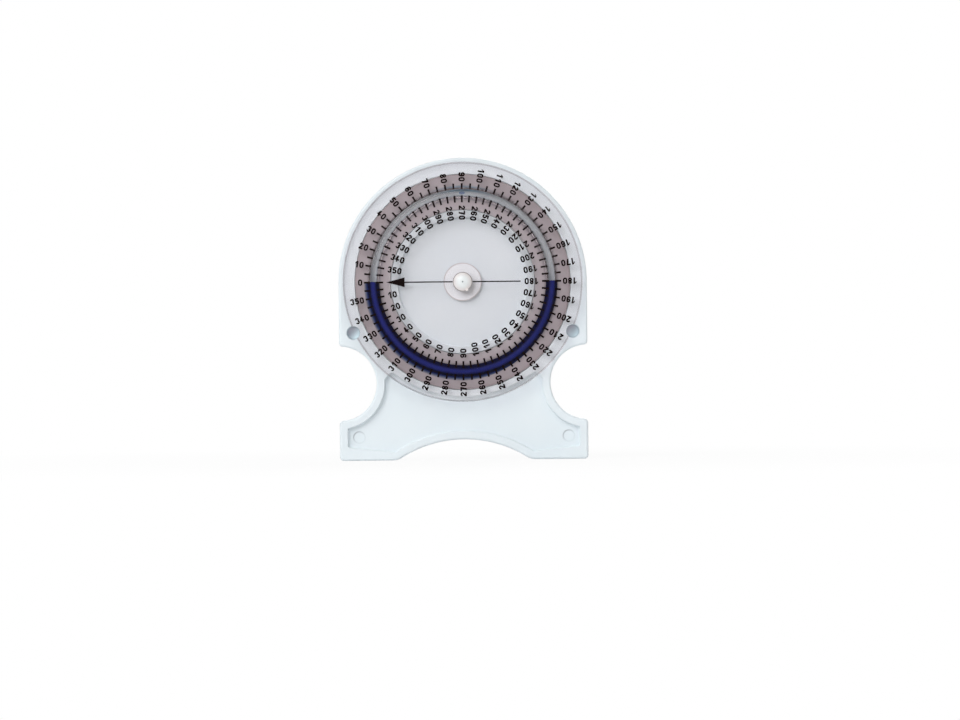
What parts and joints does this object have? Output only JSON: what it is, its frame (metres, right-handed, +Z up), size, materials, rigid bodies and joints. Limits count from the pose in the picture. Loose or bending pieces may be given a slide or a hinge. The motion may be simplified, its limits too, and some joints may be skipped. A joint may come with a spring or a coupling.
{
  "type": "bubble inclinometer",
  "caption": "Inclinometer with a turning clear dial, a ring half filled with blue liquid that stays level, printed degree scales and a white moulded base that stands on feet.",
  "frame": {"origin": "on the plane of the feet, at the middle of the overall width and depth", "axes": "+Z up through the dial axis, -Y towards the viewer out of the dial, +X to the right as seen from the front"},
  "size_m": [0.1, 0.0204, 0.1216],
  "materials": {
    "base_plastic": "satin moulded white",
    "washer_plastic": "natural moulded",
    "rivet_plastic": "gloss moulded white",
    "spring_steel": "bright spring steel",
    "retainer_steel": "plated sheet steel",
    "clear_plastic": "clear polished",
    "smoke_plastic": "tinted translucent",
    "plug_plastic": "moulded",
    "blue_liquid": "dyed liquid",
    "ink": "screen printed"
  },
  "bodies": {
    "base": {"base_plate": "base_plastic", "bearing_washer": "washer_plastic", "pivot_rivet": "rivet_plastic", "spring_washer": "spring_steel", "push_on_retainer": "retainer_steel"},
    "dial": {"front_disc": "clear_plastic", "channel_ring": "smoke_plastic", "fill_plug": "plug_plastic", "outer_marks": "ink", "inner_marks": "ink", "outer_numbers": "ink", "inner_numbers": "ink", "pointer_arrow": "ink"},
    "liquid": {"level_fluid": "blue_liquid"}
  },
  "joints": [
    {"name": "dial_turn", "type": "hinge", "parent": "base", "child": "dial", "pos_m": [0, 0, 0.0716], "axis": [0, -1, 0], "continuous": true},
    {"name": "liquid_level", "type": "hinge", "parent": "base", "child": "liquid", "pos_m": [0, 0, 0.0716], "axis": [0, -1, 0], "continuous": true}
  ]
}
